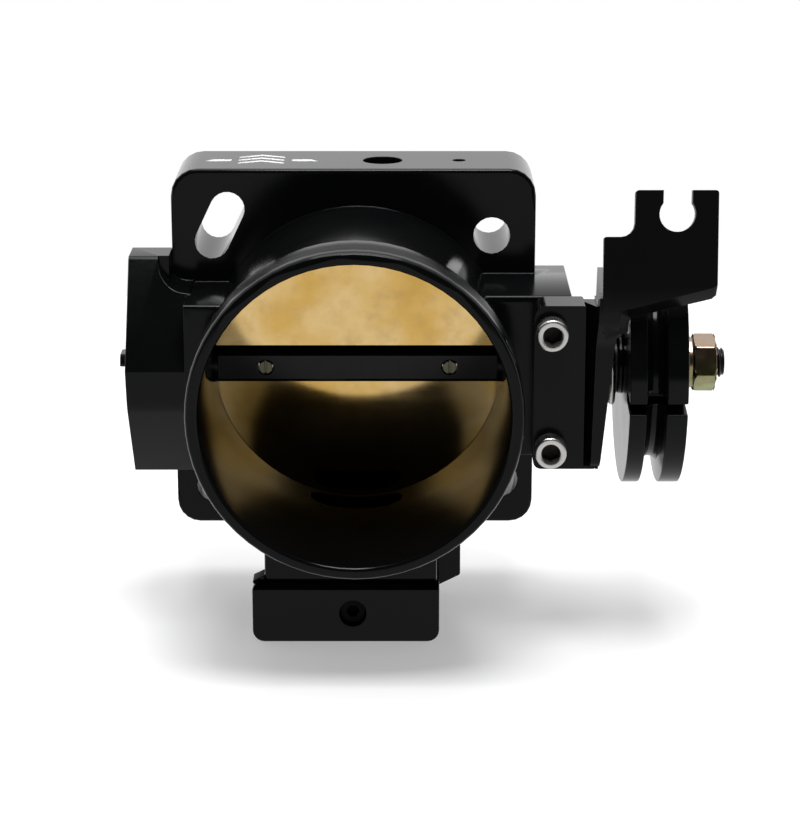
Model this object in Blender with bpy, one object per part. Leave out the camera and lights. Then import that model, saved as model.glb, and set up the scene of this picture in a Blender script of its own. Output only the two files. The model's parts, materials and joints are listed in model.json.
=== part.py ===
"""Cable-operated throttle body for a petrol engine's intake.

World frame: +Z up, +Y towards the engine, +X towards the cable cam. The origin lies on the
resting face of the idle air pad, straight below the point where the shaft axis crosses the
bore axis. Every shape below is measured from that crossing, and an empty lifts it into place.
"""

import math

import bmesh
import bpy
from mathutils import Matrix

MM = 0.001
GAP = 0.3 * MM                    # clearance between neighbouring pieces

# Bore and inlet tube, along Y
AXIS_Z = 69.3 * MM                # height of the bore and shaft axes above the pad's face
BORE_R = 37.0 * MM
MOUTH_R = 37.7 * MM
TUBE_R = 38.3 * MM
COLLAR_R = 41.0 * MM              # raised collar that the intake hose grips
LIP_Y = -53.5 * MM
COLLAR_END_Y = -39.8 * MM
TAPER_END_Y = -12.0 * MM
TUBE_OVERLAP_X = 28.0 * MM        # the side blocks reach in this far, before the bore is cut

# Manifold flange, normal to Y
FLANGE_FRONT_Y = 13.4 * MM
FLANGE_BACK_Y = 39.5 * MM
FLANGE_LEFT_X = -48.6 * MM
FLANGE_RIGHT_X = 46.2 * MM
FLANGE_HALF_HEIGHT = 48.0 * MM
BOLT_R = 4.8 * MM
SLOT_R = 4.5 * MM

# Throttle position sensor block, on the left
TPS_FACE_X = -59.1 * MM
TPS_INNER_X = -42.8 * MM
TPS_TOP_Z = 26.9                  # millimetres

# Bracket block, on the right
BLOCK_FACE_X = 54.3 * MM
BLOCK_FRONT_Y = -11.9 * MM
BLOCK_BACK_Y = 23.5 * MM
BLOCK_TOP_Z = 20.4 * MM
BLOCK_BOTTOM_Z = -22.0 * MM

# Shaft, along X
SHAFT_R = 5.0 * MM
TANG_END_X = -61.2 * MM
JOURNAL_START_X = -56.3 * MM
TANG_LOW_Z = -0.3 * MM            # the tang is a flat blade, off the shaft's centre
TANG_HIGH_Z = 2.8 * MM
SHOULDER_X = 68.0 * MM
CAM_SEAT_R = 4.0 * MM
SEAT_FLAT_Z = 3.1 * MM
SEAT_END_X = 85.2 * MM
STUD_END_X = 94.5 * MM
STUD_R = 3.85 * MM
SHAFT_FLAT_Y = 3.85 * MM          # from the axis to the flat on the shaft's front

# Throttle plate
PLATE_R = 36.7 * MM
PLATE_THICKNESS = 1.8 * MM
CLOSED_TILT = math.radians(6.4)
SCREW_X = 23.7 * MM
SCREW_R = 1.7 * MM
SCREW_END_Y = 4.0 * MM

# Ball bearing, 10 x 19 x 5 mm
BEARING_WIDTH = 5.0 * MM
BEARING_R = 9.5 * MM
BALL_COUNT = 9
BALL_R = 1.19 * MM
BALL_PITCH_R = 7.25 * MM
SHOULDER_DEPTH = 0.85 * MM        # from the pitch circle to either ring's shoulder
CAGE_HALF_WIDTH = 2.0 * MM
CAGE_THICKNESS = 0.7 * MM
FIRST_BALL_ANGLE = math.radians(15.0)
TPS_BEARING_X = -53.8 * MM
CAM_BEARING_X = 49.3 * MM
SEAL_WIDTH = 2.6 * MM
RING_WIDTH = 1.0 * MM
RING_R = 10.6 * MM

# Cable cam
CAM_R = 31.0 * MM
GROOVE_R = 24.2 * MM
CAM_LEFT_X = 68.0 * MM
CAM_RIGHT_X = 82.5 * MM
HUB_END_X = 84.7 * MM
HUB_R = 8.0 * MM
STOP_ANGLE = math.radians(-35.0)
NIPPLE_ANGLE = math.radians(7.8)  # below the horizontal, at the front
WASHER_THICKNESS = 1.1 * MM
NUT_THICKNESS = 5.8 * MM

# Idle air pad, below the tube
PAD_LEFT_X = -27.1 * MM
PAD_RIGHT_X = 21.0 * MM
PAD_FRONT_Y = -20.5 * MM
PAD_BACK_Y = 20.0 * MM
PAD_TOP_Z = -53.8 * MM
PAD_EAR_END = -12.0               # the pad's left edge steps in behind this, in millimetres
NECK_LEFT = -24.0                 # the neck above the pad, in millimetres
NECK_RIGHT = 20.4
NECK_FRONT = -17.5
NECK_BACK = 18.0
PLUG_X = -1.25 * MM
PLUG_Z = -61.6 * MM
PLUG_R = 3.2 * MM
PLUG_END_Y = -12.6 * MM

# Cable bracket
BRACKET_SCREW_X = 48.7 * MM
BRACKET_SCREW_Z = (13.9 * MM, -16.4 * MM)
BRACKET_FRONT_Y = -22.5 * MM
ARM_FRONT_Y = -30.0 * MM
ARM_BACK_Y = -27.0 * MM
ARM_TOP = 51.2                    # millimetres
WALL_LEFT = (59.5 * MM, 0.025)     # a side wall face: its X at the shaft's height, and its lean
WALL_RIGHT = (63.4 * MM, 0.1)

# Idle stop screw, below the cam's stop tab
STOP_SCREW_X = 58.4 * MM
STOP_SCREW_Y = 12.6 * MM
STOP_SCREW_R = 2.0 * MM

FINE = 64                         # steps round the tube and the bore
MEDIUM = 32
RING_STEPS = 24
COARSE = 20
RACE_STEPS = 4                    # steps across a ball's groove

BLACK_ANODISED = ("black_anodised_aluminium", (0.012, 0.012, 0.013), 0.32, 0.9)
BLACK_PAINT = ("black_painted_steel", (0.014, 0.014, 0.015), 0.38, 0.2)
BRASS = ("brass_plate", (0.62, 0.43, 0.17), 0.22, 1.0)
BRIGHT_STEEL = ("bright_steel", (0.62, 0.61, 0.58), 0.28, 1.0)
SPRING_STEEL = ("spring_steel", (0.48, 0.47, 0.44), 0.35, 1.0)
ZINC_YELLOW = ("yellow_zinc", (0.60, 0.47, 0.20), 0.26, 1.0)
BLACK_RUBBER = ("black_rubber", (0.02, 0.02, 0.02), 0.8, 0.0)
BLACK_NYLON = ("black_nylon", (0.025, 0.025, 0.026), 0.5, 0.0)


# ---------------------------------------------------------------- helpers

def clear_scene():
    """Remove every object, so that the model starts from an empty scene."""
    for item in list(bpy.data.objects):
        bpy.data.objects.remove(item)


def material(look):
    """Return the Principled material for a (name, colour, roughness, metallic) tuple."""
    name, colour, roughness, metallic = look
    found = bpy.data.materials.get(name)
    if found:
        return found
    made = bpy.data.materials.new(name)
    made.use_nodes = True
    shader = made.node_tree.nodes["Principled BSDF"]
    shader.inputs["Base Color"].default_value = (*colour, 1.0)
    shader.inputs["Roughness"].default_value = roughness
    shader.inputs["Metallic"].default_value = metallic
    return made


def object_from(name, shape):
    """Turn a bmesh into an object with outward normals and smooth round surfaces."""
    bmesh.ops.recalc_face_normals(shape, faces=shape.faces)
    mesh = bpy.data.meshes.new(name)
    shape.to_mesh(mesh)
    shape.free()
    made = bpy.data.objects.new(name, mesh)
    bpy.context.scene.collection.objects.link(made)
    return made


def place(axis, along, first, second):
    """Return the point at a distance along an axis, with the other two coordinates in order."""
    if axis == "X":
        return (along, first, second)
    if axis == "Y":
        return (first, along, second)
    return (first, second, along)


def arc(centre, radius, start, end, steps):
    """Points from one angle to another, in degrees, both ends included."""
    points = []
    for index in range(steps + 1):
        angle = math.radians(start + (end - start) * index / steps)
        points.append((centre[0] + radius * math.cos(angle), centre[1] + radius * math.sin(angle)))
    return points


def rounded(corners, steps=5):
    """Outline of a polygon given as (a, b, radius) corners in millimetres."""
    outline = []
    count = len(corners)
    for index, (a, b, radius) in enumerate(corners):
        if radius == 0.0:
            outline.append((a * MM, b * MM))
            continue
        before = corners[index - 1]
        after = corners[(index + 1) % count]
        to_before = math.atan2(before[1] - b, before[0] - a)
        to_after = math.atan2(after[1] - b, after[0] - a)
        half = ((to_after - to_before + math.pi) % (2.0 * math.pi) - math.pi) / 2.0
        reach = radius / abs(math.sin(half))
        middle = to_before + half
        centre = (a + reach * math.cos(middle), b + reach * math.sin(middle))
        sweep = math.pi - 2.0 * abs(half)
        turn = 1.0 if half > 0.0 else -1.0
        first = middle + math.pi + turn * sweep / 2.0
        for step in range(steps + 1):
            angle = first - turn * sweep * step / steps
            point = (centre[0] + radius * math.cos(angle), centre[1] + radius * math.sin(angle))
            outline.append((point[0] * MM, point[1] * MM))
    return outline


def circle(centre, radius, steps):
    """A closed circle's points, without repeating the first."""
    return arc(centre, radius, 0.0, 360.0, steps)[:-1]


def stadium(start, end, radius, steps=10):
    """Outline of a slot with round ends at two centres."""
    heading = math.degrees(math.atan2(end[1] - start[1], end[0] - start[0]))
    near = arc(start, radius, heading + 90.0, heading + 270.0, steps)
    far = arc(end, radius, heading - 90.0, heading + 90.0, steps)
    return near + far


def loft(name, axis, low, low_outline, high, high_outline):
    """Closed solid between two outlines with the same number of points."""
    shape = bmesh.new()
    first = [shape.verts.new(place(axis, low, *point)) for point in low_outline]
    last = [shape.verts.new(place(axis, high, *point)) for point in high_outline]
    shape.faces.new(first)
    shape.faces.new(last)
    for index in range(len(first)):
        following = (index + 1) % len(first)
        shape.faces.new((first[index], first[following], last[following], last[index]))
    return object_from(name, shape)


def prism(name, axis, low, high, outline):
    """Closed solid with the same outline at both ends."""
    return loft(name, axis, low, outline, high, outline)


def rod(name, axis, low, high, centre, radius, steps=COARSE):
    """Plain round rod along an axis."""
    return prism(name, axis, low, high, circle(centre, radius, steps))


def lathe(name, axis, profile, steps=MEDIUM):
    """Turn a closed profile of (along, radius) points round an axis through the crossing."""
    shape = bmesh.new()
    points = [shape.verts.new(place(axis, along, radius, 0.0)) for along, radius in profile]
    edges = []
    for index in range(len(points)):
        edges.append(shape.edges.new((points[index], points[(index + 1) % len(points)])))
    axes = {"X": (1.0, 0.0, 0.0), "Y": (0.0, 1.0, 0.0), "Z": (0.0, 0.0, 1.0)}
    bmesh.ops.spin(
        shape,
        geom=points + edges,
        cent=(0.0, 0.0, 0.0),
        axis=axes[axis],
        angle=2.0 * math.pi,
        steps=steps,
        use_merge=True,
    )
    bmesh.ops.remove_doubles(shape, verts=shape.verts, dist=0.001 * MM)
    return object_from(name, shape)


def oblong(left, right, low, high):
    """Corners of a rectangle."""
    return [(left, low), (right, low), (right, high), (left, high)]


def tube_profile(low, high, inner, outer, chamfer=0.0):
    """Profile of a plain ring, its outer edges chamfered."""
    if chamfer == 0.0:
        return [(low, inner), (high, inner), (high, outer), (low, outer)]
    return [
        (low, inner),
        (high, inner),
        (high, outer - chamfer),
        (high - chamfer, outer),
        (low + chamfer, outer),
        (low, outer - chamfer),
    ]


def combine(target, tool, operation):
    """Apply one Boolean with the exact solver, then delete the tool."""
    modifier = target.modifiers.new("combine", "BOOLEAN")
    modifier.operation = operation
    modifier.solver = "EXACT"
    modifier.object = tool
    bpy.context.view_layer.update()
    evaluated = target.evaluated_get(bpy.context.evaluated_depsgraph_get())
    result = bpy.data.meshes.new_from_object(evaluated)
    target.modifiers.clear()
    target.data = result
    bpy.data.objects.remove(tool)


def join(target, tool):
    combine(target, tool, "UNION")


def cut(target, tool):
    combine(target, tool, "DIFFERENCE")


def finish(target, look, centre):
    """Clean the mesh, give it its material and hang it on the axis crossing."""
    shape = bmesh.new()
    shape.from_mesh(target.data)
    bmesh.ops.remove_doubles(shape, verts=shape.verts, dist=0.002 * MM)
    bmesh.ops.dissolve_degenerate(shape, edges=shape.edges, dist=0.002 * MM)
    shape.to_mesh(target.data)
    shape.free()
    target.data.materials.clear()
    target.data.materials.append(material(look))
    target.data.shade_smooth()
    target.data.set_sharp_from_angle(angle=math.radians(32.0))
    target.parent = centre
    return target


# ---------------------------------------------------------------- housing

def quarter_ellipse(along, across, steps):
    """Points of a quarter turn, from the end of the across axis to the end of the along axis."""
    turns = [0.5 * math.pi * step / steps for step in range(steps + 1)]
    return [(along * (1.0 - math.cos(turn)), across * math.sin(turn)) for turn in turns]


def bore_cutter():
    """The air passage: a rounded mouth, a slow taper, then parallel to the engine face."""
    overshoot = 5.0 * MM
    edge = 1.0 * MM
    mouth = [(LIP_Y + a, MOUTH_R + edge - b) for a, b in quarter_ellipse(edge, edge, 3)]
    return lathe(
        "bore",
        "Y",
        [(LIP_Y - overshoot, 0.0), (LIP_Y - overshoot, MOUTH_R + edge)]
        + mouth
        + [
            (TAPER_END_Y, BORE_R),
            (FLANGE_BACK_Y + overshoot, BORE_R),
            (FLANGE_BACK_Y + overshoot, 0.0),
        ],
        FINE,
    )


def inlet_tube():
    """Tube with a raised collar at its mouth, the front edge eased. The bore is cut later."""
    drop = 1.0 * MM
    ease = quarter_ellipse(2.0 * MM, drop, 4)
    front = [(LIP_Y + a, COLLAR_R - drop + b) for a, b in ease]
    chamfer = 0.4 * MM
    step = [(COLLAR_END_Y - chamfer, COLLAR_R), (COLLAR_END_Y, COLLAR_R - chamfer), (COLLAR_END_Y, TUBE_R)]
    inner = BORE_R - 6.0 * MM
    end = FLANGE_FRONT_Y + 1.0 * MM
    return lathe("tube", "Y", [(LIP_Y, inner)] + front + step + [(end, TUBE_R), (end, inner)], FINE)


def flange():
    """Thick manifold flange with rounded corners."""
    left = FLANGE_LEFT_X / MM
    right = FLANGE_RIGHT_X / MM
    half = FLANGE_HALF_HEIGHT / MM
    outline = rounded([(left, half, 7.0), (right, half, 7.0), (right, -half, 6.0), (left, -half, 6.0)], 5)
    return prism("throttle_housing", "Y", FLANGE_FRONT_Y, FLANGE_BACK_Y, outline)


def sensor_block():
    """Left block for the position sensor: a creased front with two sloping faces."""
    back = 15.5
    bottom = -31.3
    outline = rounded(
        [
            (back, bottom, 0.0),
            (6.4, bottom, 0.8),
            (-9.8, -9.8, 10.0),
            (-12.6, 0.7, 0.0),
            (4.5, TPS_TOP_Z, 1.8),
            (back, TPS_TOP_Z, 0.0),
        ],
        4,
    )
    block = prism("sensor_block", "X", TPS_FACE_X, TPS_INNER_X, outline)
    cut_head_clearance(block)
    return block


def cut_head_clearance(block):
    """Round pocket for a bolt head: shallow over the block, down to the flange beside it."""
    centre_x = -43.9
    centre_z = 26.0
    radius = 7.5
    top = 36.0
    turns_left = 180.0 + math.degrees(math.acos((centre_x - FLANGE_LEFT_X / MM) / radius))
    front = -20.0 * MM
    for start, left, depth in (
        (180.0, centre_x - radius, 5.5 * MM),
        (turns_left, FLANGE_LEFT_X / MM, FLANGE_FRONT_Y),
    ):
        bowl = arc((centre_x, centre_z), radius, start, 285.0, 8)
        outline = rounded([(left, top, 0.0)] + [(a, b, 0.0) for a, b in bowl] + [(bowl[-1][0], top, 0.0)])
        cut(block, prism("head_clearance", "Y", front, depth, outline))


def sensor_block_web():
    """Raised block that ties the sensor block to the tube."""
    back = 14.0
    bottom = -31.3
    outline = rounded(
        [
            (back, bottom, 0.0),
            (6.4, bottom, 0.8),
            (-9.8, -9.8, 10.0),
            (-13.1, 0.4, 0.0),
            (-13.1, 18.2, 0.8),
            (back, 18.2, 0.0),
        ],
        4,
    )
    return prism("web", "X", TPS_INNER_X - 1.1 * MM, -TUBE_OVERLAP_X, outline)


def bracket_block():
    """Right block, beside the flange, that carries the bracket and the cam-side bearing."""
    outline = rounded(
        [
            (BLOCK_FRONT_Y / MM, BLOCK_BOTTOM_Z / MM, 1.5),
            (BLOCK_FRONT_Y / MM, BLOCK_TOP_Z / MM, 0.8),
            (BLOCK_BACK_Y / MM, BLOCK_TOP_Z / MM, 0.8),
            (BLOCK_BACK_Y / MM, BLOCK_BOTTOM_Z / MM, 1.5),
        ],
        2,
    )
    return prism("bracket_block", "X", TUBE_OVERLAP_X, BLOCK_FACE_X, outline)


def idle_pad():
    """Mounting pad for the idle air valve, which the body also rests on."""
    left = PAD_LEFT_X / MM
    right = PAD_RIGHT_X / MM
    top = PAD_TOP_Z / MM
    bottom = -AXIS_Z / MM
    outline = rounded([(left, top, 1.6), (right, top, 0.0), (right, bottom, 3.0), (left, bottom, 3.0)])
    pad = prism("pad", "Y", PAD_FRONT_Y, PAD_BACK_Y, outline)
    chamfer = 1.3
    clear = 4.0
    margin = clear * MM
    front = PAD_FRONT_Y / MM
    wedge = [
        (front - clear, top - chamfer - clear),
        (front + chamfer + clear, top + clear),
        (front - clear, top + clear),
    ]
    corners = rounded([(a, b, 0.0) for a, b in wedge])
    cut(pad, prism("pad_edge", "X", PAD_LEFT_X - margin, PAD_RIGHT_X + margin, corners))
    rise = 1.5
    below = top - 0.7
    behind = oblong(PAD_LEFT_X - margin, NECK_LEFT * MM, PAD_EAR_END * MM, PAD_BACK_Y + margin)
    cut(pad, prism("pad_side", "Z", -AXIS_Z - margin, PAD_TOP_Z + margin, behind))
    ramp = [(left, top, 0.0), (NECK_LEFT, top + rise, 0.0), (NECK_LEFT, below, 0.0), (left, below, 0.0)]
    join(pad, prism("ramp", "Y", NECK_FRONT * MM, PAD_EAR_END * MM, rounded(ramp)))
    return pad


def idle_neck():
    """Neck between the pad and the tube, and the boss behind it."""
    neck = prism(
        "neck",
        "Z",
        PAD_TOP_Z - 2.0 * MM,
        -34.0 * MM,
        rounded([(a, b, 0.8) for a, b in oblong(NECK_LEFT, NECK_RIGHT, NECK_FRONT, NECK_BACK)], 2),
    )
    join(neck, prism(
        "boss",
        "Y",
        -0.5 * MM,
        16.0 * MM,
        rounded(
            [
                (12.0, -61.2, 0.0),
                (20.6, -61.2, 0.0),
                (26.8, -58.1, 0.8),
                (26.8, -44.0, 1.5),
                (12.0, -44.0, 0.0),
            ],
            4,
        ),
    ))
    return neck


def stop_lug():
    """Small lug on the bracket block for the idle stop screw."""
    outline = rounded([(53.0, 8.2, 0.0), (62.2, 8.2, 2.5), (62.2, 17.0, 2.5), (53.0, 17.0, 0.0)], 4)
    return prism("stop_lug", "Z", -18.0 * MM, -13.6 * MM, outline)


def bearing_pocket(face, inward, bearing_centre):
    """Stepped pocket for one bearing, its seal and its retaining ring, open at a face."""
    wall = BEARING_R + GAP
    groove = RING_R + GAP
    outside = face - inward * 3.0 * MM
    seal_end = bearing_centre + inward * (BEARING_WIDTH / 2.0 + 2.0 * GAP + SEAL_WIDTH)
    ring_side = bearing_centre - inward * (BEARING_WIDTH / 2.0)
    near = ring_side - inward * (RING_WIDTH + 2.0 * GAP)
    profile = [
        (outside, 0.0),
        (outside, wall),
        (near, wall),
        (near, groove),
        (ring_side, groove),
        (ring_side, wall),
        (seal_end, wall),
        (seal_end, 0.0),
    ]
    return lathe("pocket", "X", profile, MEDIUM)


def housing():
    """Cast and machined body: flange, tube, sensor block, bracket block and idle air pad."""
    body = flange()
    for piece in (inlet_tube(), sensor_block_web(), sensor_block(), bracket_block()):
        join(body, piece)
    for piece in (idle_neck(), idle_pad(), stop_lug()):
        join(body, piece)
    cut(body, bore_cutter())
    cut_flange_holes(body)
    cut_shaft_line(body)
    cut_idle_passages(body)
    return body


def cut_flange_holes(body):
    """Bolt holes through the flange, and the pressure port in its top face."""
    front = -60.0 * MM
    back = FLANGE_BACK_Y + 5.0 * MM
    slot = stadium((-38.1 * MM, 28.9 * MM), (-34.0 * MM, 37.5 * MM), SLOT_R)
    cut(body, prism("slot", "Y", FLANGE_FRONT_Y - 3.0 * MM, back, slot))
    for x, z in ((34.8, 30.5), (37.5, -36.0), (-38.5, -37.5)):
        cut(body, rod("bolt", "Y", front, back, (x * MM, z * MM), BOLT_R))
    port = (6.3 * MM, 26.1 * MM)
    top = FLANGE_HALF_HEIGHT + 3.0 * MM
    cut(body, rod("port", "Z", 40.0 * MM, top, port, 5.2 * MM))
    cut(body, rod("nozzle", "Z", 33.0 * MM, 41.0 * MM, port, 2.0 * MM, 16))
    cut(body, rod("port_screw", "Z", 40.0 * MM, top, (26.4 * MM, 26.1 * MM), 1.7 * MM, 16))


def cut_shaft_line(body):
    """Shaft bore, bearing pockets, sensor screws, bracket screws and the stop screw."""
    cut(body, rod("shaft_bore", "X", -55.0 * MM, 52.0 * MM, (0.0, 0.0), SHAFT_R + GAP))
    cut(body, bearing_pocket(TPS_FACE_X, 1.0, TPS_BEARING_X))
    cut(body, bearing_pocket(BLOCK_FACE_X, -1.0, CAM_BEARING_X))
    for z in (-16.0 * MM, 16.0 * MM):
        cut(body, rod("sensor_screw", "X", TPS_FACE_X - 2.0 * MM, -50.0 * MM, (5.0 * MM, z), 1.7 * MM, 16))
    for z in BRACKET_SCREW_Z:
        centre = (BRACKET_SCREW_X, z)
        cut(body, rod("bracket_hole", "Y", BLOCK_FRONT_Y - 3.0 * MM, 2.0 * MM, centre, 2.5 * MM + GAP, 20))
    stop = (STOP_SCREW_X, STOP_SCREW_Y)
    cut(body, rod("stop_hole", "Z", -20.0 * MM, -12.0 * MM, stop, STOP_SCREW_R + GAP, 20))


def cut_idle_passages(body):
    """Idle air ports from the bore to the pad's face, the pad's screw holes and its plug."""
    below = -AXIS_Z - 3.0 * MM
    inlet = stadium((-7.8 * MM, -3.8 * MM), (6.8 * MM, -3.8 * MM), 4.7 * MM, 8)
    cut(body, prism("inlet_slot", "Z", -46.0 * MM, -30.0 * MM, inlet))
    cut(body, rod("inlet_port", "Z", below, -44.0 * MM, (-8.0 * MM, -4.0 * MM), 4.0 * MM, 24))
    cut(body, rod("outlet_port", "Z", below, -30.0 * MM, (8.0 * MM, 12.5 * MM), 4.5 * MM, 24))
    for x in (-20.4, 16.0):
        for y in (-15.6, 15.2):
            cut(body, rod("pad_screw", "Z", below, -60.0 * MM, (x * MM, y * MM), 2.1 * MM, 16))
    plug = (PLUG_X, PLUG_Z)
    cut(body, rod("plug_hole", "Y", PAD_FRONT_Y - 3.0 * MM, -12.0 * MM, plug, PLUG_R + GAP, 24))


# ---------------------------------------------------------------- shaft and plate

def throttle_shaft():
    """Shaft with a sensor tang, a slot for the plate, a flatted cam seat and a threaded end."""
    chamfer = 0.6 * MM
    shaft = lathe(
        "throttle_shaft",
        "X",
        [
            (TANG_END_X, 0.0),
            (TANG_END_X, 3.8 * MM),
            (JOURNAL_START_X, 3.8 * MM),
            (JOURNAL_START_X, SHAFT_R - chamfer),
            (JOURNAL_START_X + chamfer, SHAFT_R),
            (SHOULDER_X, SHAFT_R),
            (SHOULDER_X, CAM_SEAT_R),
            (SEAT_END_X, CAM_SEAT_R),
            (SEAT_END_X + 0.2 * MM, STUD_R),
            (STUD_END_X - chamfer, STUD_R),
            (STUD_END_X, STUD_R - chamfer),
            (STUD_END_X, 0.0),
        ],
        MEDIUM,
    )
    far = 8.0 * MM
    for tang in (oblong(-far, far, -far, TANG_LOW_Z), oblong(-far, far, TANG_HIGH_Z, far)):
        cut(shaft, prism("tang_flat", "X", TANG_END_X - far, JOURNAL_START_X - 0.5 * MM, tang))
    for side in (-1.0, 1.0):
        seat = oblong(-far, far, side * SEAT_FLAT_Z, side * far)
        cut(shaft, prism("seat_flat", "X", SHOULDER_X + 0.1 * MM, SEAT_END_X - 0.1 * MM, seat))
    return shaft_with_plate_slot(shaft)


def shaft_with_plate_slot(shaft):
    """Cut the plate's slot and the two stepped screw holes, turned to the closed tilt."""
    half_length = PLATE_R + 0.2 * MM
    half_slot = PLATE_THICKNESS / 2.0 + GAP
    flat_length = half_length - 1.0 * MM
    far = 9.0 * MM
    slot = oblong(-half_length, half_length, -half_slot, half_slot)
    cutters = [prism("plate_slot", "Z", -far, far, slot)]
    front_flat = oblong(-flat_length, flat_length, -far, -SHAFT_FLAT_Y)
    cutters.append(prism("front_flat", "Z", -far, far, front_flat))
    for x in (-SCREW_X, SCREW_X):
        cutters.append(rod("screw_hole", "Y", -far, far, (x, 0.0), SCREW_R + GAP, 20))
    for cutter in cutters:
        cutter.data.transform(Matrix.Rotation(CLOSED_TILT, 4, "X"))
        cut(shaft, cutter)
    return shaft


def throttle_plate():
    """Elliptical disc whose edge meets the bore when it stands at the closed tilt."""
    stretch = 1.0 / math.cos(CLOSED_TILT)
    half = PLATE_THICKNESS / 2.0
    shift = half * math.tan(CLOSED_TILT)
    front = [(x, z * stretch + shift) for x, z in circle((0.0, 0.0), PLATE_R, FINE)]
    back = [(x, z * stretch - shift) for x, z in circle((0.0, 0.0), PLATE_R, FINE)]
    plate = loft("throttle_plate", "Y", -half, front, half, back)
    for x in (-SCREW_X, SCREW_X):
        cut(plate, rod("screw_hole", "Y", -3.0 * MM, 3.0 * MM, (x, 0.0), SCREW_R + GAP, 20))
    plate.data.transform(Matrix.Rotation(CLOSED_TILT, 4, "X"))
    return plate


def plate_screw(name, x):
    """Countersunk plate screw, seen end-on in the shaft, with a driver slot."""
    screw = lathe(
        name,
        "Y",
        [
            (-SCREW_END_Y, 0.0),
            (-SCREW_END_Y, SCREW_R),
            (4.2 * MM, SCREW_R),
            (4.6 * MM, SCREW_R - 0.4 * MM),
            (4.6 * MM, 0.0),
        ],
        20,
    )
    half_width = 0.3 * MM
    reach = 3.0 * MM
    slot = oblong(-half_width, half_width, -reach, reach)
    cut(screw, prism("driver_slot", "Y", -6.0 * MM, 0.7 * MM - SCREW_END_Y, slot))
    screw.data.transform(Matrix.Rotation(CLOSED_TILT, 4, "X") @ Matrix.Translation((x, 0.0, 0.0)))
    return screw


# ---------------------------------------------------------------- bearings, seals, rings

def raceway(centre_x, outward):
    """Groove that clears the balls, cut outwards (+1) or inwards (-1) from the pitch circle."""
    radius = BALL_R + GAP
    reach = math.acos(SHOULDER_DEPTH / radius)
    points = []
    for step in range(RACE_STEPS + 1):
        angle = reach * (2.0 * step / RACE_STEPS - 1.0)
        along = centre_x + radius * math.sin(angle)
        points.append((along, BALL_PITCH_R + outward * radius * math.cos(angle)))
    return points


def bearing_outer_ring(name, centre_x):
    low = centre_x - BEARING_WIDTH / 2.0
    high = centre_x + BEARING_WIDTH / 2.0
    shoulder = BALL_PITCH_R + SHOULDER_DEPTH
    corner = 0.3 * MM
    outside = [(high, BEARING_R - corner), (high - corner, BEARING_R)]
    outside += [(low + corner, BEARING_R), (low, BEARING_R - corner)]
    profile = [(low, shoulder)] + raceway(centre_x, 1.0) + [(high, shoulder)] + outside
    return lathe(name, "X", profile, RING_STEPS)


def bearing_inner_ring(name, centre_x):
    low = centre_x - BEARING_WIDTH / 2.0
    high = centre_x + BEARING_WIDTH / 2.0
    shoulder = BALL_PITCH_R - SHOULDER_DEPTH
    bore = SHAFT_R + GAP
    profile = [(low, shoulder)] + raceway(centre_x, -1.0) + [(high, shoulder), (high, bore), (low, bore)]
    return lathe(name, "X", profile, RING_STEPS)


def ball_angle(index):
    """Angle of one ball round the shaft axis."""
    return FIRST_BALL_ANGLE + 2.0 * math.pi * index / BALL_COUNT


def bearing_cage(name, centre_x):
    """Band between the rings, with a round pocket for each ball."""
    half = CAGE_THICKNESS / 2.0
    band = tube_profile(-CAGE_HALF_WIDTH, CAGE_HALF_WIDTH, BALL_PITCH_R - half, BALL_PITCH_R + half)
    cage = lathe(name, "X", band, 2 * BALL_COUNT)
    for index in range(BALL_COUNT):
        pocket = rod("pocket", "Z", BALL_PITCH_R / 2.0, BEARING_R, (0.0, 0.0), BALL_R + GAP, 10)
        pocket.data.transform(Matrix.Rotation(ball_angle(index), 4, "X"))
        cut(cage, pocket)
    cage.data.transform(Matrix.Translation((centre_x, 0.0, 0.0)))
    return cage


def bearing_ball(name, centre_x, index):
    """One ball, on the pitch circle."""
    shape = bmesh.new()
    spot = Matrix.Translation((0.0, 0.0, BALL_PITCH_R))
    bmesh.ops.create_uvsphere(shape, u_segments=8, v_segments=6, radius=BALL_R, matrix=spot)
    ball = object_from(name, shape)
    ball.data.transform(Matrix.Translation((centre_x, 0.0, 0.0)) @ Matrix.Rotation(ball_angle(index), 4, "X"))
    return ball


def ball_bearing(side, centre_x):
    """Every piece of one bearing, each with its look."""
    pieces = [
        (bearing_outer_ring(side + "_bearing_outer_ring", centre_x), BRIGHT_STEEL),
        (bearing_inner_ring(side + "_bearing_inner_ring", centre_x), BRIGHT_STEEL),
        (bearing_cage(side + "_bearing_cage", centre_x), SPRING_STEEL),
    ]
    for index in range(BALL_COUNT):
        name = side + "_bearing_ball_" + str(index + 1)
        pieces.append((bearing_ball(name, centre_x, index), BRIGHT_STEEL))
    return pieces


def shaft_seal(name, bearing_x, inward):
    """Rubber lip seal between the bearing and the bore."""
    near = bearing_x + inward * (BEARING_WIDTH / 2.0 + GAP)
    far = near + inward * SEAL_WIDTH
    low = min(near, far)
    high = max(near, far)
    middle = (low + high) / 2.0
    profile = [
        (low, SHAFT_R + 1.6 * MM),
        (middle, SHAFT_R + GAP),
        (high, SHAFT_R + 1.6 * MM),
        (high, BEARING_R),
        (low, BEARING_R),
    ]
    return lathe(name, "X", profile, 24)


def retaining_ring(name, bearing_x, inward):
    """Spring ring with an open gap, in the groove outside the bearing."""
    near = bearing_x - inward * (BEARING_WIDTH / 2.0 + GAP)
    far = near - inward * RING_WIDTH
    inner = 8.5 * MM
    outline = arc((0.0, 0.0), RING_R, 105.0, 435.0, 20)
    outline += arc((0.0, 0.0), inner, 435.0, 105.0, 20)
    return prism(name, "X", min(near, far), max(near, far), outline)


# ---------------------------------------------------------------- cam side

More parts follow.
